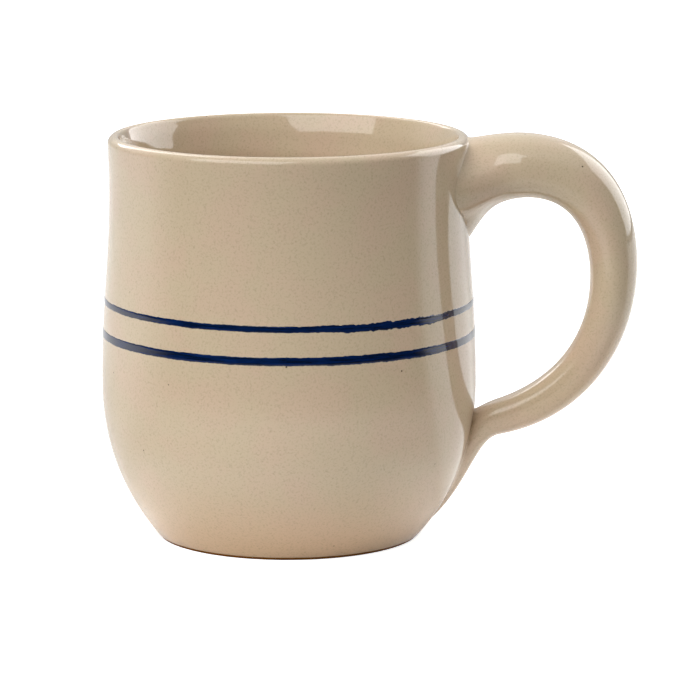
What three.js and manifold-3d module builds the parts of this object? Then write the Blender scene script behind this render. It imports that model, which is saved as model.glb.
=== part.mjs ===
// A wheel-thrown stoneware mug: a bellied cup with a rounded lip, a pulled handle luted to the
// wall with slip at both of its roots, and two cobalt lines brushed round the belly.
// Millimetres, +Z up. The origin is the middle of the flat base, and the handle points along +X.

import * as THREE from 'three';
import { mergeVertices } from 'three/addons/utils/BufferGeometryUtils.js';
import Module from 'manifold-3d';

// Outside of the cup
const cupHeight = 99.5;
const bellyRadius = 46.3;
const bellyHeight = 38;
const baseTuck = 14.7; // from the belly in to the edge of the base
const baseBevel = 0.7;
const footSpread = 40; // degrees from level at which the wall leaves the base
const neckTuck = 2.15; // from the belly in to the neck
const neckHeight = 88;

// Lip
const lipFlare = 0.25; // from the neck out to the lip
const lipOuterIn = 1.9; // from the lip's outside in to its crest
const lipOuterDrop = 1.8;
const lipInnerIn = 3.25; // from the lip's outside in to where its inner round ends
const lipInnerDrop = 1.6;
const lipTaper = 22; // degrees from upright at which the inside leaves that round

// Inside of the cup
const floorThickness = 6.5;
const floorTuck = 9.6; // from the edge of the base in to where the floor is flat
const bellyWall = 5;
const neckWall = 4.75;

// Handle, seen from the side: two rails run along its back and along its finger side
const rootDrop = 0.3; // from the lip's top down to the handle's back at the wall
const backCrownRise = 0.8; // from the lip's top up to the highest point of the handle's back
const backCrownOut = 11.5; // from the lip out to that point
const handleReach = 38.9; // from the belly out to the back of the grip
const backReachDrop = 32; // from the lip's top down to the furthest point of the back
const crownThickness = 15.7;
const gripThickness = 11.1;
const footThickness = 8.4;
const fingerCrownOut = 14.3;
const fingerReachDrop = 34.85;
const webDrop = 25.1; // from the lip's top down to where the web under the root meets the wall
const webHeading = 55; // degrees from level at which the web leaves the wall
const footHeight = 25.45; // base to the handle's back where it nears the wall again
const footOut = 7.3; // from the wall at that height out to the back
const footSlope = 11; // degrees by which the handle falls towards the wall there
const tailHeading = 224; // degrees at which the tail runs down the wall
const fingerEndRise = 6.2; // from the foot up to where the finger side meets the wall
const tailHeight = 2.6; // base to the tip of the thumbed tail

// Handle, seen along its length
const rootWidth = 17.6;
const crownWidth = 17.4;
const gripWidth = 14.8;
const footWidth = 11;
const tailWidth = 10;
const rootFillet = 3.4;
const footFillet = 1.4;
const cornerSoftness = 2.35; // 2 is an ellipse, higher is squarer

// Seats
const bite = 3.2; // how deep the uncut handle runs into the wall
const tailBite = 0.6; // how deep its tail ends in the wall
const seatClearance = 0.3;
const slipThickness = 0.5;
const slipOverlap = 3; // how far a slip sleeve runs past the root that it serves

// Cobalt lines
const upperLineHeight = 59;
const upperLineWidth = 1.6;
const lowerLineHeight = 51.25;
const lowerLineWidth = 2.1;
const lineThickness = 0.25;
const lineClearance = 0.05;

// Facets
const turnSegments = 64;
const wallSteps = 8;
const lipSteps = 4;
const railSteps = 11;
const sectionSides = 24;

const wasm = await Module();
wasm.setup();

const glazedStoneware = { color: 0xcbb595, roughness: 0.18, metalness: 0 };
const luteSlip = { color: 0xc3a988, roughness: 0.35, metalness: 0 };
const cobaltSlip = { color: 0x14264f, roughness: 0.2, metalness: 0 };

// Curve pieces in the plane of radius and height

function heading(degrees) {
  const angle = THREE.MathUtils.degToRad(degrees);
  return new THREE.Vector2(Math.cos(angle), Math.sin(angle));
}

// A station is a point with the heading of the curve there, and how strongly the curve is
// pulled along that heading before and after it, as a share of the distance to its neighbour.
function station(x, z, degrees, before, after) {
  return { point: new THREE.Vector2(x, z), along: heading(degrees), before, after };
}

function curveThrough(stations) {
  const path = new THREE.CurvePath();
  for (let i = 1; i < stations.length; i++) {
    const from = stations[i - 1];
    const to = stations[i];
    const span = from.point.distanceTo(to.point);
    const leave = from.point.clone().addScaledVector(from.along, span * from.after);
    const arrive = to.point.clone().addScaledVector(to.along, -span * to.before);
    path.add(new THREE.CubicBezierCurve(from.point, leave, arrive, to.point));
  }
  return path;
}

function sampled(path, steps) {
  return path.curves.flatMap((curve, i) => curve.getPoints(steps).slice(i > 0 ? 1 : 0));
}

// Profile of the cup

const baseRadius = bellyRadius - baseTuck;
const neckRadius = bellyRadius - neckTuck;
const lipRadius = neckRadius + lipFlare;
const floorFlatRadius = baseRadius - floorTuck;

const outsideCurve = curveThrough([
  station(baseRadius + baseBevel, baseBevel, footSpread, 0, 0.14),
  station(bellyRadius, bellyHeight, 90, 0.49, 0.44),
  station(neckRadius, neckHeight, 90, 0.4, 0.35),
  station(lipRadius, cupHeight - lipOuterDrop, 90, 0.35, 0),
]);

const lipCrest = station(lipRadius - lipOuterIn, cupHeight, 180, 0, 0.4);
const lipInside = station(lipRadius - lipInnerIn, cupHeight - lipInnerDrop, -90 - lipTaper, 0.4, 0.35);

const lipOuterArc = new THREE.EllipseCurve(
  lipCrest.point.x, cupHeight - lipOuterDrop, lipOuterIn, lipOuterDrop, 0, Math.PI / 2,
);
const lipInnerCurve = curveThrough([lipCrest, lipInside]);

const insideCurve = curveThrough([
  lipInside,
  station(neckRadius - neckWall, neckHeight, -90, 0.35, 0.4),
  station(bellyRadius - bellyWall, bellyHeight, -90, 0.44, 0.48),
  station(floorFlatRadius, floorThickness, 180, 0.36, 0),
]);

const outsidePoints = sampled(outsideCurve, wallSteps);

// Radius of the outside of the wall at a height, read off the same points that the cup is turned from
function wallRadius(height) {
  const last = outsidePoints.length - 1;
  const next = outsidePoints.findIndex((point) => point.y >= height);
  const upper = next < 0 ? last : Math.max(next, 1);
  const a = outsidePoints[upper - 1];
  const b = outsidePoints[upper];
  return THREE.MathUtils.mapLinear(THREE.MathUtils.clamp(height, a.y, b.y), a.y, b.y, a.x, b.x);
}

// Solids

function turned(profile) {
  return new THREE.LatheGeometry(profile, turnSegments).rotateX(Math.PI / 2);
}

function axisPoint(height) {
  return new THREE.Vector2(0, height);
}

// A ring of even thickness that lies a set distance off the wall between two heights
function wallRing(lowest, highest, offset, thickness) {
  const between = outsidePoints.filter((point) => point.y > lowest && point.y < highest);
  const heights = [lowest, ...between.map((point) => point.y), highest];
  const side = (distance) => (
    heights.map((height) => new THREE.Vector2(wallRadius(height) + distance, height))
  );
  const far = side(offset + thickness);
  const near = side(offset).reverse();
  return turned([...far, ...near, far[0]]);
}

function toSolid(geometry) {
  const bare = geometry.clone();
  bare.deleteAttribute('normal');
  bare.deleteAttribute('uv');
  const merged = mergeVertices(bare);
  return new wasm.Manifold(new wasm.Mesh({
    numProp: 3,
    vertProperties: new Float32Array(merged.attributes.position.array),
    triVerts: new Uint32Array(merged.index.array),
  }));
}

function toGeometry(solid) {
  const { vertProperties, triVerts } = solid.getMesh();
  const geometry = new THREE.BufferGeometry();
  geometry.setAttribute('position', new THREE.BufferAttribute(vertProperties, 3));
  geometry.setIndex(new THREE.BufferAttribute(triVerts, 1));
  return geometry;
}

// Joins rings of equal point counts into one closed skin with a fan over each end
function loft(rings) {
  const sides = rings[0].length;
  const middles = [rings[0], rings[rings.length - 1]].map((ring) => (
    ring.reduce((sum, point) => sum.add(point), new THREE.Vector3()).divideScalar(sides)
  ));
  const points = [...rings.flat(), ...middles];
  const start = points.length - 2;
  const end = points.length - 1;
  const lastRing = (rings.length - 1) * sides;
  const faces = [];
  for (let side = 0; side < sides; side++) {
    const next = (side + 1) % sides;
    faces.push(start, side, next);
    faces.push(end, lastRing + next, lastRing + side);
    for (let ring = 0; ring < rings.length - 1; ring++) {
      const low = ring * sides;
      const high = low + sides;
      faces.push(low + side, high + next, low + next);
      faces.push(low + side, high + side, high + next);
    }
  }
  const geometry = new THREE.BufferGeometry().setFromPoints(points);
  geometry.setIndex(faces);
  return geometry;
}

// Cup

const cupGeometry = turned([
  axisPoint(0),
  new THREE.Vector2(baseRadius, 0),
  ...outsidePoints,
  ...lipOuterArc.getPoints(lipSteps).slice(1),
  ...sampled(lipInnerCurve, lipSteps).slice(1),
  ...sampled(insideCurve, wallSteps).slice(1),
  axisPoint(floorThickness),
]);

// Handle: sections between the back rail and the finger rail

const backReach = bellyRadius + handleReach;
const footRadius = wallRadius(footHeight) + footOut;
const footAcross = heading(90 + footSlope);
const fingerEndHeight = footHeight + fingerEndRise;
const webHeight = cupHeight - webDrop;

const backRail = curveThrough([
  station(lipRadius, cupHeight - rootDrop, 6, 0, 0.35),
  station(lipRadius + backCrownOut, cupHeight + backCrownRise, 0, 0.35, 0.487),
  station(backReach, cupHeight - backReachDrop, -90, 0.412, 0.348),
  station(footRadius, footHeight, 180 + footSlope, 0.416, 0.211),
  station(wallRadius(tailHeight) - tailBite, tailHeight, tailHeading, 0.484, 0),
]);

const fingerRail = curveThrough([
  station(wallRadius(webHeight), webHeight, webHeading, 0, 0.367),
  station(lipRadius + fingerCrownOut, cupHeight + backCrownRise - crownThickness, 0, 0.51, 0.471),
  station(backReach - gripThickness, cupHeight - fingerReachDrop, -90, 0.365, 0.385),
  station(
    footRadius + footAcross.x * footThickness, footHeight + footAcross.y * footThickness,
    180 + footSlope, 0.36, 0.3,
  ),
  station(wallRadius(fingerEndHeight) - bite, fingerEndHeight, 180 + footSlope, 0.3, 0),
]);

const stationWidths = [rootWidth, crownWidth, gripWidth, footWidth, tailWidth];

function widthAt(place) {
  const from = Math.min(Math.floor(place), stationWidths.length - 2);
  const share = THREE.MathUtils.smoothstep(place - from, 0, 1);
  return THREE.MathUtils.lerp(stationWidths[from], stationWidths[from + 1], share);
}

// Extra half width where a section nears the wall: a round fillet that meets the wall flush
function flareAt(distance, fillet) {
  const away = THREE.MathUtils.clamp(fillet - distance, 0, fillet);
  return fillet - Math.sqrt(fillet ** 2 - away ** 2);
}

// Soft-cornered oval whose ends lie on the two rails
function handleSection(back, finger, width) {
  const middle = back.clone().add(finger).divideScalar(2);
  const half = back.clone().sub(finger).divideScalar(2);
  const soften = (value) => Math.sign(value) * Math.abs(value) ** (2 / cornerSoftness);
  return Array.from({ length: sectionSides }, (_, i) => {
    const angle = (i / sectionSides) * 2 * Math.PI;
    const along = soften(Math.cos(angle));
    const across = soften(Math.sin(angle)) * (width / 2);
    return new THREE.Vector3(middle.x + half.x * along, across, middle.y + half.y * along);
  });
}

const backPoints = sampled(backRail, railSteps);
const fingerPoints = sampled(fingerRail, railSteps);

const sections = backPoints.map((back, i) => {
  const finger = fingerPoints[i];
  const middle = back.clone().lerp(finger, 0.5);
  const outFromWall = middle.x - wallRadius(middle.y);
  const fillet = middle.y > bellyHeight ? rootFillet : footFillet;
  return handleSection(back, finger, widthAt(i / railSteps) + 2 * flareAt(outFromWall, fillet));
});

// The first section is carried on into the wall, so that the uncut root is buried there
const buriedRoot = sections[0].map((point) => point.clone().setX(point.x - bite));
const uncutHandle = toSolid(loft([buriedRoot, ...sections]));

// Everything inside the wall and its seat, up past the lip
const seatDepth = seatClearance * 2 + slipThickness;
const keepOut = toSolid(turned([
  axisPoint(-seatDepth),
  ...outsidePoints.map((point) => new THREE.Vector2(point.x + seatDepth, point.y)),
  new THREE.Vector2(lipRadius + seatDepth, cupHeight + crownThickness),
  axisPoint(cupHeight + crownThickness),
]));

const upperSleeve = toSolid(wallRing(
  webHeight - slipOverlap, cupHeight - lipOuterDrop, seatClearance, slipThickness,
));
const lowerSleeve = toSolid(wallRing(
  tailHeight, fingerEndHeight + slipOverlap, seatClearance, slipThickness,
));

const handleGeometry = toGeometry(uncutHandle.subtract(keepOut));
const upperSlipGeometry = toGeometry(uncutHandle.intersect(upperSleeve));
const lowerSlipGeometry = toGeometry(uncutHandle.intersect(lowerSleeve));

// Cobalt lines

function lineGeometry(height, width) {
  return wallRing(height - width / 2, height + width / 2, lineClearance, lineThickness);
}

// Assembly

function piece(name, geometry, finish) {
  const mesh = new THREE.Mesh(geometry, new THREE.MeshStandardMaterial(finish));
  mesh.name = name;
  return mesh;
}

const mug = new THREE.Group();
mug.name = 'stoneware_mug';
mug.add(
  piece('thrown_body', cupGeometry, glazedStoneware),
  piece('pulled_handle', handleGeometry, glazedStoneware),
  piece('upper_slip_joint', upperSlipGeometry, luteSlip),
  piece('lower_slip_joint', lowerSlipGeometry, luteSlip),
  piece('upper_line', lineGeometry(upperLineHeight, upperLineWidth), cobaltSlip),
  piece('lower_line', lineGeometry(lowerLineHeight, lowerLineWidth), cobaltSlip),
);

export default mug;
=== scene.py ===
"""Looks of a wheel-thrown stoneware mug: a glazed cup, a pulled handle and two cobalt lines.

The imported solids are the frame: metres, +Z up, the handle along +X. Sizes in the pieces and the
finishes are in millimetres, as a potter notes them, and become metres when a mesh or a pattern is
made. The studio's sizes are in metres.
"""

import logging
import math
from dataclasses import dataclass
from enum import Enum

import bpy
import numpy as np
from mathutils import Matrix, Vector


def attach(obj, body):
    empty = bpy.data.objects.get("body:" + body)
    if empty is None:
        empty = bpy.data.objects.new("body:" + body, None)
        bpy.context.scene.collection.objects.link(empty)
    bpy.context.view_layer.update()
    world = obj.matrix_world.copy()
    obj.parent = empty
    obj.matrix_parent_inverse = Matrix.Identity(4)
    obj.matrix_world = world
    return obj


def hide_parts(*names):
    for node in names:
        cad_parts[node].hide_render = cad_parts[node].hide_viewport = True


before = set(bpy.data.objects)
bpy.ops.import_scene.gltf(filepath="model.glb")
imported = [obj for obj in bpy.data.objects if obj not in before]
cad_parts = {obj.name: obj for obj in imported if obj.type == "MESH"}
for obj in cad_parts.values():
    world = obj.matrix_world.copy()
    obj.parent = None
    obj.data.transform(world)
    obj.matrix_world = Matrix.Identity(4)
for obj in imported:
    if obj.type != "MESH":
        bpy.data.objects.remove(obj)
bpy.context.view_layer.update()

Array = np.ndarray
Node, Socket, Tree = bpy.types.Node, bpy.types.NodeSocket, bpy.types.NodeTree
MM = 0.001
LOG = logging.getLogger("stoneware_mug")


class Slot(Enum):
    """Material slots of the record, by the names of the pieces' finishes."""

    GLAZE = "glazed_stoneware"
    COBALT = "cobalt_slip"


class Side(Enum):
    """Whether a value keeps or changes its sign from one side of the handle to the other."""

    EVEN = 1
    ODD = -1


class Kind(Enum):
    """Kinds of node that the finishes and the studio are made of, by Blender's names."""

    ATTRIBUTE = "ShaderNodeAttribute"
    BUMP = "ShaderNodeBump"
    CELLS = "ShaderNodeTexVoronoi"
    COORDINATES = "ShaderNodeTexCoord"
    MAPPING = "ShaderNodeMapping"
    MATH = "ShaderNodeMath"
    MIX = "ShaderNodeMix"
    NOISE = "ShaderNodeTexNoise"
    PARTS = "ShaderNodeSeparateXYZ"
    RAMP = "ShaderNodeMapRange"
    RAY = "ShaderNodeLightPath"
    VECTOR = "ShaderNodeVectorMath"


# Curves

# Headings in degrees, in the plane of radius and height
OUT, UP, IN, DOWN = 0, 90, 180, -90


@dataclass(frozen=True)
class Station:
    """A point on a curve, its heading in degrees, and the pull of the curve before and after it.

    A pull is a share of the straight distance to the neighbouring station.
    """

    x: float
    z: float
    heading: float
    before: float = 0.0
    after: float = 0.0

    @property
    def point(self) -> Array:
        """Place of the station as radius and height."""
        return np.array([self.x, self.z])

    @property
    def along(self) -> Array:
        """Unit vector of the station's heading."""
        return unit_heading(self.heading)


def unit_heading(degrees: float) -> Array:
    """Unit vector at an angle from the outward direction, in the plane of radius and height."""
    return np.array([math.cos(math.radians(degrees)), math.sin(math.radians(degrees))])


def bezier(start: Array, leave: Array, arrive: Array, end: Array, share: Array) -> Array:
    """Cubic Bezier curve: four points weighed by the Bernstein terms of the share.

    Args:
        start: First point, or an array of first points.
        leave: Point that the curve leaves towards.
        arrive: Point that the curve arrives from.
        end: Last point.
        share: How far along the curve, from 0 to 1, with a last axis of one.

    Returns:
        Points on the curve, in the shape that the inputs broadcast to.
    """
    rest = 1 - share
    return (
        rest**3 * start
        + 3 * rest**2 * share * leave
        + 3 * rest * share**2 * arrive
        + share**3 * end
    )


def curve_through(stations: list[Station], steps: int) -> Array:
    """Points of the Bezier curves that join each station to the next.

    Args:
        stations: Stations in order.
        steps: Points per curve, without the one that it shares with the curve before.

    Returns:
        Radius and height of each point, in an array of two columns.
    """
    share = np.linspace(0, 1, steps + 1)[1:, None]
    points = [stations[0].point[None]]
    for near, far in zip(stations, stations[1:]):
        span = np.linalg.norm(far.point - near.point)
        leave = near.point + near.along * span * near.after
        arrive = far.point - far.along * span * far.before
        points.append(bezier(near.point, leave, arrive, far.point, share))
    return np.concatenate(points)


def through_keys(angles: Array, values: Array, at: Array, side: Side) -> Array:
    """Smooth value at any angle round the handle, through values that are given at a few angles.

    The keys are mirrored over 0 and 180 degrees, with their sign kept or changed, and joined by
    cubic Hermite curves whose slope at a key is weighed from the slopes on both sides of it.

    Args:
        angles: Key angles in degrees, rising from 0 to 180.
        values: Value at each key.
        at: Angles to read, in degrees from 0 to 360.
        side: Sign of the values on the other side.

    Returns:
        One value per angle.
    """
    keys = np.concatenate([-angles[:0:-1], angles, 360 - angles[-2::-1]])
    known = np.concatenate([side.value * values[:0:-1], values, side.value * values[-2::-1]])
    slopes = np.gradient(known, keys)
    low = np.clip(np.searchsorted(keys, at, side="right") - 1, 0, len(keys) - 2)
    span = keys[low + 1] - keys[low]
    t = (at - keys[low]) / span
    return (
        known[low] * (2 * t**3 - 3 * t**2 + 1)
        + known[low + 1] * (3 * t**2 - 2 * t**3)
        + slopes[low] * span * (t**3 - 2 * t**2 + t)
        + slopes[low + 1] * span * (t**3 - t**2)
    )


def wander(angle: Array, harmonics: Array, sizes: Array, rng: np.random.Generator) -> Array:
    """Wandering value round a circle: sine waves of whole turns, each with its own size and phase.

    Args:
        angle: Angles in radians.
        harmonics: Waves per turn.
        sizes: Height of each wave.
        rng: Source of the phases.

    Returns:
        One value per angle.
    """
    phases = rng.uniform(0, 2 * math.pi, len(harmonics))
    return np.sin(np.outer(angle, harmonics) + phases) @ sizes


# Meshes


def skin(name: str, rings: Array, loop: bool = False) -> bpy.types.Object:
    """Close a row of rings into one smooth skin and put it in the scene.

    Neighbouring rings are joined by four-sided faces. A loop's last ring joins its first. Any other
    row gets a fan of triangles over the middle of its first and of its last ring.

    Args:
        name: Name of the object and its mesh.
        rings: Points in millimetres: ring, place round the ring, axis. Faces look outwards where
            the way round a ring crossed with the way along the row points out.
        loop: Whether the row closes on itself.

    Returns:
        The new object.
    """
    count, sides = rings.shape[:2]
    points = rings.reshape(-1, 3)
    gaps = count if loop else count - 1
    ring, place = np.meshgrid(np.arange(gaps), np.arange(sides), indexing="ij")
    near, far = ring * sides, (ring + 1) % count * sides
    after = (place + 1) % sides
    quads = np.stack([near + place, near + after, far + after, far + place], axis=-1)
    corners, totals = [quads.ravel()], [np.full(ring.size, 4)]
    if not loop:
        points = np.concatenate([points, rings[[0, -1]].mean(axis=1)])
        here, then = np.arange(sides), (np.arange(sides) + 1) % sides
        last = (count - 1) * sides
        first_fan = np.stack([np.full(sides, count * sides), then, here], axis=-1)
        last_fan = np.stack([np.full(sides, count * sides + 1), last + here, last + then], axis=-1)
        corners += [first_fan.ravel(), last_fan.ravel()]
        totals += [np.full(2 * sides, 3)]
    corner, total = np.concatenate(corners), np.concatenate(totals)
    mesh = bpy.data.meshes.new(name)
    mesh.vertices.add(len(points))
    mesh.vertices.foreach_set("co", (points * MM).astype(np.float32).ravel())
    mesh.loops.add(len(corner))
    mesh.loops.foreach_set("vertex_index", corner.astype(np.int32))
    mesh.polygons.add(len(total))
    mesh.polygons.foreach_set("loop_start", (np.cumsum(total) - total).astype(np.int32))
    mesh.polygons.foreach_set("use_smooth", np.ones(len(total), bool))
    mesh.update(calc_edges=True)
    mesh.validate()
    piece = bpy.data.objects.new(name, mesh)
    bpy.context.scene.collection.objects.link(piece)
    return piece


def mount(piece: bpy.types.Object, slot: Slot, *nodes: str) -> None:
    """Let a finished piece ride on the mug's one body and stand for its CAD nodes.

    Args:
        piece: The finished piece.
        slot: Material slot of the record for its finish; not used.
        nodes: CAD nodes that it stands for.
    """
    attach(piece, "root")
    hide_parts(*nodes)
    LOG.info("%s: %d faces, stands for %s", piece.name, len(piece.data.polygons), ", ".join(nodes))


# Finishes

WHITE = "#ffffff"
# Settings of a Map Range node that eases at both ends, and of a Mix node that mixes colours
SMOOTH = {"interpolation_type": "SMOOTHSTEP"}
COLOURS = {"data_type": "RGBA"}
# Positions of the sockets of such a Mix node, which share their names with hidden ones
MIX_SHARE, MIX_FIRST, MIX_SECOND = 0, 6, 7


@dataclass(frozen=True)
class Ramp:
    """A ramp: while a reading goes from start to stop, the value goes from low to high."""

    start: float
    stop: float
    low: float = 0.0
    high: float = 1.0

    @property
    def ends(self) -> dict[str, float]:
        """The ramp's numbers, by the names of a Map Range node's sockets."""
        names = ("From Min", "From Max", "To Min", "To Max")
        return dict(zip(names, (self.start, self.stop, self.low, self.high)))


def linear(colour: str) -> tuple[float, ...]:
    """Turn an sRGB colour to linear light, by the standard's straight foot and power curve.

    Args:
        colour: Hex value such as #c8b59a.

    Returns:
        Linear red, green and blue, and full alpha.
    """
    parts = np.array([int(colour[i : i + 2], 16) for i in (1, 3, 5)]) / 255
    light = np.where(parts <= 0.04045, parts / 12.92, ((parts + 0.055) / 1.055) ** 2.4)
    return (*light.tolist(), 1.0)


def per_size(size: float) -> float:
    """Texture scale that makes a pattern's features this many millimetres wide."""
    return 1 / (size * MM)


def feed(tree: Tree, node: Node, inputs: dict) -> None:
    """Give a node's input sockets their values and links.

    Args:
        tree: Node tree that holds the node.
        node: The node.
        inputs: For input sockets, by name or number, the value, the socket to link from, or the
            node to link from, which gives its first output in use.
    """
    for name, value in inputs.items():
        if isinstance(value, Node):
            value = next(output for output in value.outputs if output.enabled)
        if isinstance(value, Socket):
            tree.links.new(value, node.inputs[name])
        else:
            node.inputs[name].default_value = value


def add_node(tree: Tree, kind: Kind, inputs: dict | None = None, **settings: object) -> Node:
    """Add one node with its settings and links.

    Args:
        tree: Node tree that gets the node.
        kind: Kind of node.
        inputs: What its input sockets are fed.
        settings: Values of the node's own properties.

    Returns:
        The new node.
    """
    node = tree.nodes.new(kind.value)
    for name, value in settings.items():
        setattr(node, name, value)
    feed(tree, node, inputs or {})
    return node


def blank_material(name: str) -> tuple[bpy.types.Material, Tree, Node]:
    """Start a material.

    Args:
        name: Its name.

    Returns:
        The material, its node tree and its Principled shader.
    """
    material = bpy.data.materials.new(name)
    material.use_nodes = True
    tree = material.node_tree
    return material, tree, tree.nodes["Principled BSDF"]


@dataclass(frozen=True)
class ClearGlossGlaze:
    """Buff stoneware dipped in a clear gloss glaze and fired to about 1200 degrees.

    The glass coat gives sharp mirror lights over a warm grey buff. Seen close, the clay under it
    drifts between a pinkish and a greenish buff, is peppered with fine iron, and has a few black
    iron spots. Low on the wall, where the glaze is thin, the colour is warmer, and on the handle
    this reaches higher the farther out it is.
    """

    buff: str = "#cbb99d"
    pink: str = "#ceb79e"
    warm_foot: str = "#d5b38f"
    pepper: str = "#8f7c60"
    iron: str = "#3a2c1f"
    drift_size: float = 13.0
    pinkness: Ramp = Ramp(0.38, 0.66)
    pepper_size: float = 0.5
    peppering: Ramp = Ramp(0.5, 0.8, high=0.4)
    spot_spacing: float = 8.0
    spot_radius: float = 0.3
    spot_core: float = 0.45
    peel_size: float = 1.6
    peel_strength: float = 0.06
    peel_depth: float = 0.1
    warm_below: float = 24.0
    warm_share: float = 0.75
    warm_from: float = 36.0
    warm_rise: float = 0.75
    roughness: Ramp = Ramp(0.3, 0.7, low=0.05, high=0.09)
    ior: float = 1.5

    def material(self) -> bpy.types.Material:
        """Build the glaze's node material.

        Returns:
            The material.
        """
        material, tree, shader = blank_material("stoneware_clear_gloss_glaze")
        place = add_node(tree, Kind.COORDINATES).outputs["Object"]
        drift = add_node(tree, Kind.NOISE, {
            "Vector": place, "Scale": per_size(self.drift_size), "Detail": 3.0, "Roughness": 0.55,
        })
        pinkness = add_node(tree, Kind.RAMP, {"Value": drift, **self.pinkness.ends}, **SMOOTH)
        clay = add_node(tree, Kind.MIX, {
            MIX_SHARE: pinkness, MIX_FIRST: linear(self.buff), MIX_SECOND: linear(self.pink),
        }, **COLOURS)
        warmth = self.warmth(tree, place)
        warmed = add_node(tree, Kind.MIX, {
            MIX_SHARE: warmth, MIX_FIRST: clay, MIX_SECOND: linear(self.warm_foot),
        }, **COLOURS)
        grit = add_node(tree, Kind.NOISE, {
            "Vector": place, "Scale": per_size(self.pepper_size), "Detail": 2.0, "Roughness": 0.6,
        })
        peppering = add_node(tree, Kind.RAMP, {"Value": grit, **self.peppering.ends})
        peppered = add_node(tree, Kind.MIX, {
            MIX_SHARE: peppering, MIX_FIRST: warmed, MIX_SECOND: linear(self.pepper),
        }, **COLOURS)
        peel = add_node(tree, Kind.NOISE, {
            "Vector": place, "Scale": per_size(self.peel_size), "Detail": 1.0,
        })
        feed(tree, shader, {
            "Base Color": self.iron_spots(tree, place, peppered),
            "Roughness": add_node(tree, Kind.RAMP, {"Value": drift, **self.roughness.ends}),
            "Normal": add_node(tree, Kind.BUMP, {
                "Height": peel, "Strength": self.peel_strength, "Distance": self.peel_depth * MM,
            }),
            "IOR": self.ior,
        })
        return material

    def warmth(self, tree: Tree, place: Socket) -> Node:
        """Share of the warm colour: it grows downwards from a height that rises along the handle.

        Args:
            tree: Node tree of the glaze.
            place: Object coordinates.

        Returns:
            The node that gives the share.
        """
        part = add_node(tree, Kind.PARTS, {"Vector": place}).outputs
        start = self.warm_from * MM
        along = Ramp(start, 2 * self.warm_from * MM, high=self.warm_rise * self.warm_from * MM)
        rise = add_node(tree, Kind.RAMP, {"Value": part["X"], **along.ends}, clamp=False)
        raised = add_node(tree, Kind.MATH, {0: rise, 1: 0.0}, operation="MAXIMUM")
        height = add_node(tree, Kind.MATH, {0: part["Z"], 1: raised}, operation="SUBTRACT")
        low = Ramp(self.warm_below * MM, 0.0, high=self.warm_share)
        return add_node(tree, Kind.RAMP, {"Value": height, **low.ends}, **SMOOTH)

    def iron_spots(self, tree: Tree, place: Socket, under: Node) -> Node:
        """Paint the iron spots: soft dots round the middles of widely spaced cells.

        Few of them show, as the surface seldom cuts through a cell's middle.

        Args:
            tree: Node tree of the glaze.
            place: Object coordinates.
            under: Colour of the glaze without its spots.

        Returns:
            The node that gives the colour with its spots.
        """
        cells = add_node(tree, Kind.CELLS, {
            "Vector": place, "Scale": per_size(self.spot_spacing), "Randomness": 1.0,
        })
        edge = self.spot_radius / self.spot_spacing
        dot = Ramp(edge, edge * self.spot_core)
        near = add_node(tree, Kind.RAMP, {"Value": cells, **dot.ends})
        return add_node(tree, Kind.MIX, {
            MIX_SHARE: near, MIX_FIRST: under, MIX_SECOND: linear(self.iron),
        }, **COLOURS)


@dataclass(frozen=True)
class BareWireCutClay:
    """The unglazed underside: stoneware as the wire left it, fired bare.

    It is matt, a shade darker and warmer than under the glaze, and rough with fine grog. Round its
    edge a dark brown painted shadow stands for the contact shadow under the bevel, a line round the
    base.
    """

    clay: str = "#b79b78"
    toasted: str = "#a5825c"
    # Painted contact shadow: dark brown round the base's edge, under the bevel
    painted_contact_shadow: str = "#80501c"
    contact_shadow_width: float = 0.5
    grog_size: float = 0.8
    grog_strength: float = 0.5
    grog_depth: float = 0.1
    roughness: float = 0.85
    specular: float = 0.1

    def material(self, base_radius: float) -> bpy.types.Material:
        """Build the bare clay's node material.

        Args:
            base_radius: Radius of the flat base, where the painted contact shadow is darkest.

        Returns:
            The material.
        """
        material, tree, shader = blank_material("stoneware_bare_wire_cut")
        place = add_node(tree, Kind.COORDINATES).outputs["Object"]
        grog = add_node(tree, Kind.NOISE, {
            "Vector": place, "Scale": per_size(self.grog_size), "Detail": 4.0, "Roughness": 0.65,
        })
        colour = add_node(tree, Kind.MIX, {
            MIX_SHARE: grog, MIX_FIRST: linear(self.clay), MIX_SECOND: linear(self.toasted),
        }, **COLOURS)
        level = add_node(tree, Kind.VECTOR, {0: place, 1: (1, 1, 0)}, operation="MULTIPLY")
        reach = add_node(tree, Kind.VECTOR, {0: level}, operation="LENGTH")
        # Painted contact shadow: a band at the base's edge where the clay meets the floor
        painted_contact_shadow = Ramp((base_radius - self.contact_shadow_width) * MM, base_radius * MM)
        in_contact_shadow = add_node(tree, Kind.RAMP, {"Value": reach, **painted_contact_shadow.ends}, **SMOOTH)
        feed(tree, shader, {
            "Base Color": add_node(tree, Kind.MIX, {
                MIX_SHARE: in_contact_shadow, MIX_FIRST: colour, MIX_SECOND: linear(self.painted_contact_shadow),
            }, **COLOURS),
            "Normal": add_node(tree, Kind.BUMP, {
                "Height": grog, "Strength": self.grog_strength, "Distance": self.grog_depth * MM,
            }),
            "Roughness": self.roughness,
            "Specular IOR Level": self.specular,
        })
        return material


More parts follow.
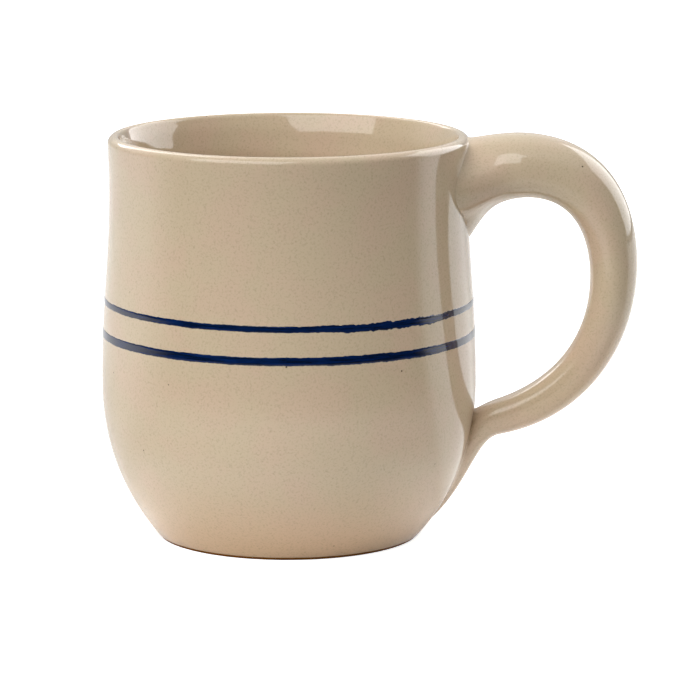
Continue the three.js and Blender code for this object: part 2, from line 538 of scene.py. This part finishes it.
@dataclass(frozen=True)
class BrushedCobaltSlip:
    """Cobalt slip brushed on while the cup turned, under the same gloss glaze.

    It is a deep inky blue with streaks along the stroke, and a paler, slightly teal bleed at its
    edges where the slip is thin.
    """

    ink: str = "#001232"
    stroke: str = "#042256"
    bleed: str = "#1d3f63"
    streak_length: float = 7.0
    streak_width: float = 0.45
    streaking: Ramp = Ramp(0.42, 0.7)
    bleeding: Ramp = Ramp(0.86, 1.0, high=0.8)
    roughness: float = 0.07
    ior: float = 1.5

    def material(self) -> bpy.types.Material:
        """Build the cobalt's node material, whose bleed follows the line's own edge attribute.

        Returns:
            The material.
        """
        material, tree, shader = blank_material("cobalt_slip_under_gloss_glaze")
        place = add_node(tree, Kind.COORDINATES).outputs["Object"]
        along, across = per_size(self.streak_length), per_size(self.streak_width)
        stretched = add_node(tree, Kind.MAPPING, {"Vector": place, "Scale": (along, along, across)})
        streaks = add_node(tree, Kind.NOISE, {
            "Vector": stretched, "Scale": 1.0, "Detail": 3.0, "Roughness": 0.6,
        })
        streaking = add_node(tree, Kind.RAMP, {"Value": streaks, **self.streaking.ends})
        stroke = add_node(tree, Kind.MIX, {
            MIX_SHARE: streaking, MIX_FIRST: linear(self.ink), MIX_SECOND: linear(self.stroke),
        }, **COLOURS)
        edge = add_node(tree, Kind.ATTRIBUTE, attribute_name=CobaltLine.EDGE).outputs["Fac"]
        bleeding = add_node(tree, Kind.RAMP, {"Value": edge, **self.bleeding.ends})
        feed(tree, shader, {
            "Base Color": add_node(tree, Kind.MIX, {
                MIX_SHARE: bleeding, MIX_FIRST: stroke, MIX_SECOND: linear(self.bleed),
            }, **COLOURS),
            "Roughness": self.roughness,
            "IOR": self.ior,
        })
        return material


# Cup


@dataclass(frozen=True)
class CupProfile:
    """The cup seen from the side, as radius and height: outside, lip and inside."""

    cup_height: float = 99.5
    belly_radius: float = 46.3
    belly_height: float = 38.0
    base_tuck: float = 14.05
    base_bevel: float = 0.7
    foot_spread: float = 50.6
    foot_shift: float = -0.16
    foot_shift_below: float = 12.0
    neck_tuck: float = 2.15
    neck_height: float = 88.0
    lip_flare: float = 0.25
    lip_outer_in: float = 1.9
    lip_outer_drop: float = 1.8
    lip_inner_in: float = 3.25
    lip_inner_drop: float = 1.6
    lip_taper: float = 22.0
    floor_thickness: float = 6.5
    floor_tuck: float = 9.6
    belly_wall: float = 5.0
    neck_wall: float = 4.75
    wall_steps: int = 30
    lip_steps: int = 14

    @property
    def base_radius(self) -> float:
        """Radius of the flat base."""
        return self.belly_radius - self.base_tuck

    @property
    def neck_radius(self) -> float:
        """Radius of the outside at the neck."""
        return self.belly_radius - self.neck_tuck

    @property
    def lip_radius(self) -> float:
        """Radius of the outside at the lip."""
        return self.neck_radius + self.lip_flare

    def outside(self) -> Array:
        """Outside of the wall: Bezier curves from the base's bevel to where the lip rounds over.

        Returns:
            Radius and height of each point, upwards.
        """
        foot_radius = self.base_radius + self.base_bevel
        lip_height = self.cup_height - self.lip_outer_drop
        return curve_through([
            Station(foot_radius, self.base_bevel, self.foot_spread, after=0.162),
            Station(self.belly_radius, self.belly_height, UP, before=0.517, after=0.44),
            Station(self.neck_radius, self.neck_height, UP, before=0.4, after=0.35),
            Station(self.lip_radius, lip_height, UP, before=0.35),
        ], self.wall_steps)

    def lip(self) -> Array:
        """Outer round of the lip, up to its crest and without its first point: a quarter ellipse.

        Returns:
            Radius and height of each point, upwards.
        """
        turn = np.linspace(0, math.pi / 2, self.lip_steps + 1)[1:]
        radius = self.lip_radius - self.lip_outer_in * (1 - np.cos(turn))
        height = self.cup_height - self.lip_outer_drop * (1 - np.sin(turn))
        return np.stack([radius, height], axis=-1)

    def inside(self) -> Array:
        """Inside of the cup: Bezier curves from the lip's crest, without it, to the flat floor.

        Returns:
            Radius and height of each point, downwards.
        """
        crest = self.lip_radius - self.lip_outer_in
        lip, lip_height = self.lip_radius - self.lip_inner_in, self.cup_height - self.lip_inner_drop
        neck, belly = self.neck_radius - self.neck_wall, self.belly_radius - self.belly_wall
        floor = self.base_radius - self.floor_tuck
        return curve_through([
            Station(crest, self.cup_height, IN, after=0.4),
            Station(lip, lip_height, DOWN - self.lip_taper, before=0.4, after=0.35),
            Station(neck, self.neck_height, DOWN, before=0.35, after=0.4),
            Station(belly, self.belly_height, DOWN, before=0.44, after=0.48),
            Station(floor, self.floor_thickness, IN, before=0.36),
        ], self.wall_steps)[1:]

    def radius_at(self, height: Array) -> Array:
        """Radius of the outside at a height, the outer half of the lip included."""
        outer = np.concatenate([self.outside(), self.lip()])
        return np.interp(height, outer[:, 1], outer[:, 0])

    def shift_at(self, height: Array) -> Array:
        """How far along X the wall stands off the axis at a height, as the foot isn't central."""
        return self.foot_shift * np.clip(1 - height / self.foot_shift_below, 0, 1) ** 2


@dataclass
class ThrownBody:
    """The cup: turned from its profile, with the faint marks of throwing and wire cutting."""

    profile: CupProfile
    glaze: bpy.types.Material
    bare_clay: bpy.types.Material
    turns: int = 320
    base_rings: int = 52
    floor_rings: int = 18
    hub_radius: float = 0.4
    finger_pitch: float = 6.2
    finger_sway: float = 0.8
    outer_ridge: float = 0.004
    outer_ridge_heights: tuple[float, float] = (6.0, 92.0)
    inner_ridge: float = 0.05
    inner_ridge_heights: tuple[float, float] = (9.0, 93.0)
    ridge_fade: float = 5.0
    wire_pitch: float = 2.1
    wire_mark: float = 0.09
    wire_fade: float = 12.0
    wire_centre: tuple[float, float] = (-74.0, 31.0)

    def build(self) -> bpy.types.Object:
        """Turn the profile round the axis, mark it and dress it.

        A point is (radius cos, radius sin, height) of its profile point and its angle. The spiral
        ridges of the potter's fingers move it along the profile's own normal, and the wire's
        arcs lift the underside.

        Returns:
            The finished cup.
        """
        profile = self.profile
        base_radius = np.linspace(self.hub_radius, profile.base_radius, self.base_rings)
        base = np.stack([base_radius, np.zeros(self.base_rings)], -1)
        outside, lip, inside = profile.outside(), profile.lip(), profile.inside()
        floor_radius = np.linspace(inside[-1, 0], self.hub_radius, self.floor_rings + 1)[1:]
        floor = np.stack([floor_radius, np.full(self.floor_rings, profile.floor_thickness)], -1)
        line = np.concatenate([base, outside, lip, inside, floor])
        ridge = np.concatenate([
            np.zeros(len(base)),
            self.outer_ridge * self.fade(outside[:, 1], *self.outer_ridge_heights),
            np.zeros(len(lip)),
            self.inner_ridge * self.fade(inside[:, 1], *self.inner_ridge_heights),
            np.zeros(len(floor)),
        ])
        angle = np.linspace(0, 2 * math.pi, self.turns, endpoint=False)
        tangent = np.gradient(line, axis=0)
        normal = np.stack([tangent[:, 1], -tangent[:, 0]], -1)
        normal /= np.linalg.norm(normal, axis=1, keepdims=True)
        phase = 2 * math.pi * line[:, 1:] / self.finger_pitch - angle
        push = ridge[:, None] * np.sin(phase + self.finger_sway * np.sin(2 * angle))
        radius = line[:, :1] + normal[:, :1] * push
        height = line[:, 1:] + normal[:, 1:] * push
        x = radius * np.cos(angle) + profile.shift_at(height)
        rings = np.stack([x, radius * np.sin(angle), height], -1)
        rings[: len(base), :, 2] += self.wire_arcs(rings[: len(base)])
        piece = skin("thrown_cup", rings)
        piece.data.materials.append(self.glaze)
        piece.data.materials.append(self.bare_clay)
        # Bare are the base with its bevel and the fan over its middle, the first of two fans
        bare = np.zeros(len(piece.data.polygons), np.int32)
        bare[: len(base) * self.turns] = 1
        bare[-2 * self.turns : -self.turns] = 1
        piece.data.polygons.foreach_set("material_index", bare)
        mount(piece, Slot.GLAZE, "thrown_body")
        return piece

    def fade(self, height: Array, low: float, high: float) -> Array:
        """Weight that is 1 between two heights and falls to 0 within the fade past them."""
        fade = self.ridge_fade
        return np.clip((height - low) / fade + 1, 0, 1) * np.clip((high - height) / fade + 1, 0, 1)

    def wire_arcs(self, rings: Array) -> Array:
        """Rise of the underside: shallow arcs round a point outside the base, fading at its edge.

        Args:
            rings: Points of the underside.

        Returns:
            Rise of each point in millimetres.
        """
        offset = rings[..., :2] - np.array(self.wire_centre)
        reach = np.linalg.norm(offset, axis=-1)
        edge = 1 - np.linalg.norm(rings[..., :2], axis=-1) / self.profile.base_radius
        wave = 0.5 + 0.5 * np.sin(2 * math.pi * reach / self.wire_pitch)
        return self.wire_mark * wave * np.clip(edge * self.wire_fade, 0, 1)


@dataclass
class CobaltLine:
    """One line of cobalt slip brushed round the belly, a thin ring with a hand's uneven edges.

    The brush was reloaded at one angle, in degrees, where the line is rougher and swells.
    """

    EDGE = "edge"
    # Places across the line, from its upper edge to its lower one
    ACROSS = np.array([1, 0.94, 0.8, 0.5, 0, -0.5, -0.8, -0.94, -1])
    SWAY_WAVES = np.array([1, 2, 3, 5])
    EDGE_WAVES = np.array([14, 23, 37, 58, 83, 121, 167, 229, 290])
    EDGE_SIZES = np.array([6, 5, 4, 4, 4, 3.5, 3, 2.5, 2]) / 10

    profile: CupProfile
    slip: bpy.types.Material
    node: str
    height: float
    width: float
    seed: int
    rough_at: float
    rough_gain: float
    swell: float
    lean: float
    rough_from: float = 0.8
    rough_rise: float = 0.2
    turns: int = 1440
    crown: float = 0.07
    sunk: float = 0.05
    sway: float = 0.05
    raggedness: float = 0.045

    def build(self) -> bpy.types.Object:
        """Lay the ring on the wall and dress it.

        At each angle the line runs between an upper and a lower edge that wander on their own.
        Where the brush was reloaded the edges are rougher and the lower one swells downwards.
        Across it, the outer face stands off the wall by crown times one minus the fourth power
        of the distance from its middle, and sinks just into the wall at both edges.

        Returns:
            The finished line.
        """
        rng = np.random.default_rng(self.seed)
        angle = np.linspace(0, 2 * math.pi, self.turns, endpoint=False)
        facing = np.cos(angle - math.radians(self.rough_at))
        loaded = np.clip((facing - self.rough_from) / self.rough_rise, 0, 1) ** 2
        rough = self.raggedness * (1 + self.rough_gain * loaded)
        middle = self.height - self.lean * np.cos(angle)
        sway_sizes = np.full(len(self.SWAY_WAVES), self.sway / 2)
        middle += wander(angle, self.SWAY_WAVES, sway_sizes, rng)
        upper = middle + self.width / 2 + self.edge(angle, rng) * rough
        lower = middle - self.width / 2 - self.swell * loaded + self.edge(angle, rng) * rough
        outer_z = lower[:, None] + (upper - lower)[:, None] * (self.ACROSS + 1) / 2
        off_middle = np.abs(self.ACROSS)
        lift = self.crown * (1 - off_middle**4) - self.sunk * (off_middle == 1)
        outer_r = self.profile.radius_at(outer_z) + lift
        # The back of the ring, inside the wall, needs only three of the places, upwards
        inner_z = outer_z[:, ::-1][:, 1:-1:3]
        inner_r = self.profile.radius_at(inner_z) - 2 * self.sunk
        radius = np.concatenate([outer_r, inner_r], axis=1)
        height = np.concatenate([outer_z, inner_z], axis=1)
        turn = angle[:, None]
        rings = np.stack([radius * np.cos(turn), radius * np.sin(turn), height], -1)
        piece = skin(self.node.replace("line", "cobalt_line"), rings, loop=True)
        edge = np.ones((self.turns, radius.shape[1]), np.float32)
        edge[:, : len(off_middle)] = off_middle
        attribute = piece.data.attributes.new(self.EDGE, "FLOAT", "POINT")
        attribute.data.foreach_set("value", edge.ravel())
        piece.data.materials.append(self.slip)
        mount(piece, Slot.COBALT, self.node)
        return piece

    def edge(self, angle: Array, rng: np.random.Generator) -> Array:
        """Raggedness of one edge: waves from about 20 mm down to 1 mm long."""
        return wander(angle, self.EDGE_WAVES, self.EDGE_SIZES, rng)


# Handle


@dataclass(frozen=True)
class Root:
    """Where an end of the handle spreads out on the wall, for angles round the handle's section.

    Angle 0 is the handle's back, 90 its side and 180 its finger side. The clay leaves the handle
    along it, drawn in a little at the sides, and ends on the wall at a distance across and a
    height. It comes down there from over a second such place, lifted off the wall.
    """

    angles: tuple[float, ...]
    across: tuple[float, ...]
    heights: tuple[float, ...]
    handle_pull: tuple[float, ...]
    over_across: tuple[float, ...]
    over_heights: tuple[float, ...]
    lift: tuple[float, ...]
    middle: float
    draw: float


@dataclass
class PulledHandle:
    """The handle: pulled clay, bent to a loop and thumbed onto the wall at both ends."""

    profile: CupProfile
    glaze: bpy.types.Material
    back_crown_rise: float = 0.8
    back_crown_out: float = 11.5
    handle_reach: float = 39.4
    back_reach_drop: float = 32.0
    crown_thickness: float = 15.7
    grip_thickness: float = 11.6
    foot_thickness: float = 8.65
    finger_crown_out: float = 14.3
    finger_reach_drop: float = 34.85
    foot_height: float = 25.2
    foot_out: float = 7.3
    foot_slope: float = 11.0
    foot_lean: float = 5.1
    finger_slope: float = 19.1
    crown_slope: float = 2.5
    crown_width: float = 19.2
    grip_width: float = 14.8
    foot_width: float = 11.0
    back_softness: float = 2.02
    root_softness: float = 2.7
    grip_softness: float = 1.9
    steps: int = 90
    root_steps: int = 44
    root_crowding: float = 1.4
    sides: int = 128
    sink: float = 0.05
    plug_depth: float = 2.0
    upper_root: Root = Root(
        angles=(0, 20, 38, 52, 64, 75, 86, 95, 103, 111, 119, 127, 140, 155, 168, 180),
        across=(0, 3.2, 5.9, 8.1, 10.4, 12.7, 14.7, 15.8, 15.3, 13.4, 10.8, 8.6, 6.4, 4.2, 2.0, 0),
        heights=(
            99.3, 99.0, 98.0, 96.2, 94.4, 92.5, 90.2, 88.0,
            85.9, 83.5, 81.7, 80.2, 78.0, 76.2, 75.0, 74.4,
        ),
        handle_pull=(8, 8, 8.4, 8.6, 7.6, 6.6, 5.8, 5.3, 5.3, 5.6, 6.2, 7.0, 8.0, 8.7, 8.9, 8.9),
        over_across=(
            0, 2.9, 5.2, 6.9, 8.7, 10.5, 12.0, 12.7, 12.6, 11.7, 10.1, 7.9, 5.4, 3.1, 1.4, 0
        ),
        over_heights=(
            98.5, 98.0, 96.9, 95.0, 93.0, 91.3, 89.4, 87.3,
            84.9, 82.7, 81.2, 80.5, 80.2, 80.0, 79.75, 79.65,
        ),
        lift=(0, 0.4, 1.2, 2.1, 2.8, 3.2, 3.3, 3.2, 2.8, 2.4, 2.2, 2.1, 2.3, 2.9, 3.5, 3.8),
        middle=86.0,
        draw=0.07,
    )
    lower_root: Root = Root(
        angles=(0, 12, 30, 55, 75, 90, 105, 120, 135, 155, 180),
        across=(0, 2.6, 5.0, 6.2, 5.4, 4.4, 3.8, 3.4, 3.0, 2.0, 0),
        heights=(2.6, 4.6, 10.5, 18.5, 23.2, 25.8, 27.7, 29.0, 30.0, 31.0, 31.4),
        handle_pull=(6.15, 6.0, 5.6, 5.2, 5.4, 5.4, 5.2, 4.8, 4.0, 3.0, 2.6),
        over_across=(0, 1.5, 3.2, 4.1, 3.9, 3.8, 3.6, 3.2, 2.9, 1.9, 0),
        over_heights=(11.7, 13.1, 16.0, 21.2, 24.1, 25.9, 27.6, 28.9, 29.9, 30.8, 31.2),
        lift=(4.5, 3.7, 1.3, 0, 0, 0, 0, 0, 0, 0, 0),
        middle=26.5,
        draw=0.0,
    )

    def build(self) -> bpy.types.Object:
        """Join both roots to the loop in one skin and dress it.

        Returns:
            The finished handle.
        """
        loop = self.loop()
        upper = self.root_patch(loop[0], self.crown_slope, self.crown_slope, self.upper_root)
        lower = self.root_patch(loop[-1], self.foot_slope, self.finger_slope, self.lower_root)
        piece = skin("pulled_handle_glazed", np.concatenate([upper[::-1], loop, lower]))
        piece.data.materials.append(self.glaze)
        mount(piece, Slot.GLAZE, "pulled_handle", "upper_slip_joint", "lower_slip_joint")
        return piece

    @property
    def section_angle(self) -> Array:
        """Angles round a section, in degrees from the back over the near side."""
        return np.linspace(0, 360, self.sides, endpoint=False)

    def loop(self) -> Array:
        """The free part of the handle, from its crown round the grip to its foot.

        Each section is a soft-cornered oval between a back and a finger rail: cosine and sine of
        the section angle, raised to two over the softness, times half the thickness and width.

        Returns:
            Rings of points: step along the handle, place round the section, axis.
        """
        profile = self.profile
        reach = profile.belly_radius + self.handle_reach
        back_height = profile.cup_height - self.back_reach_drop
        finger_height = profile.cup_height - self.finger_reach_drop
        foot_radius = float(profile.radius_at(self.foot_height)) + self.foot_out
        foot = np.array([foot_radius, self.foot_height])
        foot_finger = foot + unit_heading(UP + self.foot_lean) * self.foot_thickness
        crown = profile.cup_height + self.back_crown_rise
        crown_finger = crown - self.crown_thickness
        back = curve_through([
            Station(profile.lip_radius + self.back_crown_out, crown, OUT, after=0.474),
            Station(reach, back_height, DOWN, before=0.407, after=0.352),
            Station(*foot, IN + self.foot_slope, before=0.416),
        ], self.steps)
        finger = curve_through([
            Station(profile.lip_radius + self.finger_crown_out, crown_finger, OUT, after=0.471),
            Station(reach - self.grip_thickness, finger_height, DOWN, before=0.365, after=0.416),
            Station(*foot_finger, IN + self.finger_slope, before=0.357),
        ], self.steps)
        # Place 0 is the crown, 1 the grip and 2 the foot
        place = np.linspace(0, 2, len(back))
        share = place % 1
        ease = np.where(place == 2, 1, share**2 * (3 - 2 * share))
        grip = np.where(place < 1, ease, 1 - ease)[:, None]
        widths = (self.crown_width, self.grip_width, self.foot_width)
        half_width = np.interp(place, (0, 1, 2), widths) / 2
        finger_softness = self.root_softness + (self.grip_softness - self.root_softness) * grip
        back_softness = self.back_softness + (self.grip_softness - self.back_softness) * grip
        angle = np.radians(self.section_angle)
        cosine, sine = np.cos(angle), np.sin(angle)
        softness = np.where(cosine > 0, back_softness, finger_softness)
        through = np.sign(cosine) * np.abs(cosine) ** (2 / softness)
        aside = np.sign(sine) * np.abs(sine) ** (2 / softness)
        middle, half = (back + finger) / 2, (back - finger) / 2
        x = middle[:, :1] + half[:, :1] * through
        z = middle[:, 1:] + half[:, 1:] * through
        y = -half_width[:, None] * aside
        return np.stack([x, y, z], -1)

    def on_wall(self, across: Array, height: Array, depth: Array | float) -> Array:
        """Points a depth under the outside of the cup, or over it where the depth is negative.

        Args:
            across: Distance along the wall from the handle's middle plane, towards -Y.
            height: Height of each point.
            depth: How far under the surface.

        Returns:
            Points in millimetres.
        """
        surface = self.profile.radius_at(height)
        turn = -across / surface
        radius = surface - depth
        x = radius * np.cos(turn) + self.profile.shift_at(height)
        return np.stack([x, radius * np.sin(turn), height], -1)

    def root_patch(self, ring: Array, back_slope: float, finger_slope: float, root: Root) -> Array:
        """The spreading end of the handle, from its last free ring to a plug inside the wall.

        For each angle round the section a cubic Bezier leaves the ring along the handle and comes
        down to the root's outline on the wall from the root's place over it. Its points crowd
        towards the wall.

        Args:
            ring: The free ring that the root starts from.
            back_slope: Degrees by which the handle's back falls towards the wall.
            finger_slope: Degrees by which its finger side falls.
            root: Outline and pulls of the root.

        Returns:
            Rings after the given one, the last of them buried in the wall.
        """
        keys, angle = np.array(root.angles, float), self.section_angle
        across, over_across = (
            through_keys(keys, np.array(values, float), angle, Side.ODD)
            for values in (root.across, root.over_across)
        )
        height, over_height, pull, lift = (
            through_keys(keys, np.array(values, float), angle, Side.EVEN)
            for values in (root.heights, root.over_heights, root.handle_pull, root.lift)
        )
        to_finger = (1 - np.cos(np.radians(angle))) / 2
        fall = np.radians(back_slope + (finger_slope - back_slope) * to_finger)
        along = np.stack([-np.cos(fall), np.zeros_like(fall), -np.sin(fall)], -1)
        leave = (ring + along * pull[:, None]) * np.array([1, 1 - root.draw, 1])
        arrive = self.on_wall(over_across, over_height, self.sink - lift)
        end = self.on_wall(across, height, self.sink)
        steps = np.linspace(0, 1, self.root_steps + 1)[1:, None, None]
        patch = bezier(ring, leave, arrive, end, 1 - (1 - steps) ** self.root_crowding)
        plug = self.on_wall(across / 2, root.middle + (height - root.middle) / 2, self.plug_depth)
        return np.concatenate([patch, plug[None]])


# Studio


@dataclass(frozen=True)
class SoftBox:
    """A flat soft light that faces the mug. Azimuth and elevation are in degrees, sizes in metres.

    Radiance is what lights the clay, and glint is how bright the glaze mirrors the light.
    """

    name: str
    azimuth: float
    elevation: float
    distance: float
    size: tuple[float, float]
    radiance: float
    glint: float
    gap: float = 0.02
    aim_height: float = 0.05

    def hang(self) -> None:
        """Hang the light twice, turned to the mug: for the clay, and a gap in front for the mirror.

        The power of a panel is its radiance times pi and its area.
        """
        azimuth, elevation = math.radians(self.azimuth), math.radians(self.elevation)
        level = math.cos(elevation)
        out = Vector((math.cos(azimuth) * level, math.sin(azimuth) * level, math.sin(elevation)))
        aim = Vector((0, 0, self.aim_height))
        uses = (("clay", self.radiance, False), ("glint", self.glint, True))
        for name, radiance, mirrored in uses:
            lamp = bpy.data.lights.new(f"{self.name}_{name}", "AREA")
            lamp.shape = "RECTANGLE"
            lamp.size, lamp.size_y = self.size
            lamp.energy = radiance * math.pi * lamp.size * lamp.size_y
            holder = bpy.data.objects.new(lamp.name, lamp)
            holder.location = aim + out * (self.distance - self.gap * mirrored)
            holder.rotation_euler = out.to_track_quat("Z", "Y").to_euler()
            holder.visible_diffuse, holder.visible_glossy = not mirrored, mirrored
            bpy.context.scene.collection.objects.link(holder)


@dataclass
class Studio:
    """White floor, a window light at the left, lights behind at both sides, a white back, a camera.

    The ramps of the floor's glow read the distance from the mug's axis, or X or Y of the unit
    vector away from it. Those of the surround read Y or Z of the direction.
    """

    floor_half: float = 2.0
    floor_colour: str = "#eeedeb"
    floor_painted_shade: str = "#2a2928"
    floor_roughness: float = 0.9
    floor_lift: float = 0.8
    back_axis: tuple[float, float, float] = (-0.13, 0.99, 0.0)
    in_front: Ramp = Ramp(0.15, -0.3)
    far_off: Ramp = Ramp(0.13, 0.32)
    left_glow: Ramp = Ramp(0.65, 0.3, high=0.15)
    right_glow: Ramp = Ramp(0.034, 0.068, high=0.65)
    left_to_right: Ramp = Ramp(0.45, 0.6)
    far_glow: Ramp = Ramp(0.2, 0.36, high=0.25)
    front_to_back: Ramp = Ramp(-0.05, 0.12)
    near_to_side_glow: Ramp = Ramp(-0.85, -0.5, low=0.42, high=0.8)
    back_to_front: Ramp = Ramp(0.45, -0.35)
    round_mug: Ramp = Ramp(0.105, 0.06)
    off_foot: Ramp = Ramp(0.034, 0.044, low=0.4)
    surround_rise: Ramp = Ramp(0.1, 0.4, low=0.6, high=1.15)
    surround_back: Ramp = Ramp(-0.1, 0.45, low=0.03)
    surround_top: Ramp = Ramp(0.5, 0.85, high=0.68)
    lights: tuple[SoftBox, ...] = (
        SoftBox("window_light", -122, 42, 1.3, (1.35, 0.9), radiance=4.0, glint=3.2),
        SoftBox("edge_light", 34, 24, 1.4, (1.35, 1.15), radiance=0.75, glint=3.3),
        SoftBox("back_light", 126, 41, 1.4, (0.44, 1.08), radiance=0.8, glint=3.6),
    )
    camera_place: tuple[float, float, float] = (0.06865, -0.9817, 0.2276)
    camera_aim: tuple[float, float, float] = (0.01256, 0.00088, 0.04816)
    lens: float = 214.0
    sensor: float = 36.0

    def build(self) -> None:
        """Put up the floor, the surround, the light and the camera."""
        self.floor()
        self.surround()
        for light in self.lights:
            light.hang()
        self.camera()
        bpy.context.scene.view_settings.view_transform = "Standard"

    def floor(self) -> None:
        """Lay a white sheet that lifts to white for the camera and glows in the glaze's mirror.

        In front of the mug its colour darkens with the distance: painted shade for the unlit side
        of the room.
        """
        far = self.floor_half
        corners = [(-far, -far, 0), (far, -far, 0), (far, far, 0), (-far, far, 0)]
        mesh = bpy.data.meshes.new("floor")
        mesh.from_pydata(corners, [], [(0, 1, 2, 3)])
        sheet = bpy.data.objects.new("floor", mesh)
        bpy.context.scene.collection.objects.link(sheet)
        material, tree, shader = blank_material("white_paper_floor")
        place = add_node(tree, Kind.COORDINATES).outputs["Object"]
        reach = add_node(tree, Kind.VECTOR, {0: place}, operation="LENGTH")
        aside = add_node(tree, Kind.VECTOR, {0: place}, operation="NORMALIZE")
        behind = add_node(
            tree, Kind.VECTOR, {0: aside, 1: self.back_axis}, operation="DOT_PRODUCT"
        )
        in_front = add_node(tree, Kind.RAMP, {"Value": behind, **self.in_front.ends}, **SMOOTH)
        far_off = add_node(tree, Kind.RAMP, {"Value": reach, **self.far_off.ends}, **SMOOTH)
        # Share of painted shade: far off in front, where the room is unlit
        painted_shade_share = add_node(tree, Kind.MATH, {0: in_front, 1: far_off}, operation="MULTIPLY")
        ray = add_node(tree, Kind.RAY).outputs
        straight = add_node(
            tree, Kind.MATH, {0: ray["Is Camera Ray"], 1: ray["Is Transmission Ray"]},
            operation="MAXIMUM",
        )
        glow = self.floor_glow(tree, reach, aside)
        shine = add_node(tree, Kind.MATH, {0: ray["Is Glossy Ray"], 1: glow}, operation="MULTIPLY")
        feed(tree, shader, {
            "Base Color": add_node(tree, Kind.MIX, {
                MIX_SHARE: painted_shade_share,
                MIX_FIRST: linear(self.floor_colour),
                MIX_SECOND: linear(self.floor_painted_shade),
            }, **COLOURS),
            "Emission Strength": add_node(
                tree, Kind.MATH, {0: straight, 1: self.floor_lift, 2: shine},
                operation="MULTIPLY_ADD",
            ),
            "Emission Color": linear(WHITE),
            "Roughness": self.floor_roughness,
            "Specular IOR Level": 0.0,
        })
        mesh.materials.append(material)

    def floor_glow(self, tree: Tree, reach: Node, aside: Node) -> Node:
        """How bright the floor glows in the glaze's mirror, a painted reflection: the brighter of
        two glows.

        Behind the mug it is dim at the left and bright at the right, with some more far off. At the
        sides and in front it is bright near the mug, and weaker close to its foot, a painted shade
        of the mug.

        Args:
            tree: Node tree of the floor.
            reach: Distance from the mug's axis.
            aside: Unit vector away from the axis.

        Returns:
            The node that gives the brightness.
        """
        heading = add_node(tree, Kind.PARTS, {"Vector": aside}).outputs
        x, y = heading["X"], heading["Y"]
        left = add_node(tree, Kind.RAMP, {"Value": y, **self.left_glow.ends}, **SMOOTH)
        right = add_node(tree, Kind.RAMP, {"Value": reach, **self.right_glow.ends}, **SMOOTH)
        by_side = add_node(tree, Kind.RAMP, {
            "Value": x, **self.left_to_right.ends, "To Min": left, "To Max": right,
        }, **SMOOTH)
        far = add_node(tree, Kind.RAMP, {"Value": reach, **self.far_glow.ends}, **SMOOTH)
        both = add_node(tree, Kind.MATH, {0: by_side, 1: far}, operation="ADD")
        at_back = add_node(
            tree, Kind.RAMP, {"Value": y, **self.front_to_back.ends, "To Max": both}, **SMOOTH
        )
        at_side = add_node(tree, Kind.RAMP, {"Value": y, **self.near_to_side_glow.ends}, **SMOOTH)
        off_back = add_node(
            tree, Kind.RAMP, {"Value": y, **self.back_to_front.ends, "To Max": at_side}, **SMOOTH
        )
        near = add_node(
            tree, Kind.RAMP, {"Value": reach, **self.round_mug.ends, "To Max": off_back}, **SMOOTH
        )
        off_foot = add_node(tree, Kind.RAMP, {"Value": reach, **self.off_foot.ends}, **SMOOTH)
        round_foot = add_node(tree, Kind.MATH, {0: near, 1: off_foot}, operation="MULTIPLY")
        return add_node(tree, Kind.MATH, {0: at_back, 1: round_foot}, operation="MAXIMUM")

    def surround(self) -> None:
        """Give the world a white back, a pale top and a dark front, shown white to the camera."""
        world = bpy.data.worlds.new("studio_surround")
        world.use_nodes = True
        tree = world.node_tree
        direction = add_node(tree, Kind.COORDINATES).outputs["Generated"]
        part = add_node(tree, Kind.PARTS, {"Vector": direction}).outputs
        y, z = part["Y"], part["Z"]
        rise = add_node(tree, Kind.RAMP, {"Value": z, **self.surround_rise.ends}, **SMOOTH)
        back = add_node(
            tree, Kind.RAMP, {"Value": y, **self.surround_back.ends, "To Max": rise}, **SMOOTH
        )
        top = add_node(tree, Kind.RAMP, {"Value": z, **self.surround_top.ends}, **SMOOTH)
        level = add_node(tree, Kind.MATH, {0: back, 1: top}, operation="MAXIMUM")
        seen = add_node(tree, Kind.RAY).outputs["Is Camera Ray"]
        feed(tree, tree.nodes["Background"], {
            "Color": linear(WHITE),
            "Strength": add_node(tree, Kind.MATH, {0: level, 1: seen}, operation="MAXIMUM"),
        })
        bpy.context.scene.world = world

    def camera(self) -> None:
        """Stand the camera where the picture was taken from."""
        optics = bpy.data.cameras.new("camera")
        optics.lens, optics.sensor_width = self.lens, self.sensor
        holder = bpy.data.objects.new("camera", optics)
        holder.location = self.camera_place
        sight = Vector(self.camera_place) - Vector(self.camera_aim)
        holder.rotation_euler = sight.to_track_quat("Z", "Y").to_euler()
        bpy.context.scene.collection.objects.link(holder)
        bpy.context.scene.camera = holder


def main() -> None:
    """Build the mug's pieces in the order that a potter makes them, then the studio."""
    logging.basicConfig(level=logging.INFO, format="%(name)s: %(message)s")
    profile = CupProfile()
    glaze = ClearGlossGlaze().material()
    ThrownBody(profile, glaze, BareWireCutClay().material(profile.base_radius)).build()
    PulledHandle(profile, glaze).build()
    slip = BrushedCobaltSlip().material()
    CobaltLine(
        profile, slip, "upper_line", height=59.0, width=1.6,
        seed=11, rough_at=-50, rough_gain=2.5, swell=0.5, lean=0.2,
    ).build()
    CobaltLine(
        profile, slip, "lower_line", height=51.25, width=2.1,
        seed=23, rough_at=-55, rough_gain=0.6, swell=0.15, lean=0.0,
    ).build()
    Studio().build()


if __name__ == "__main__":
    main()
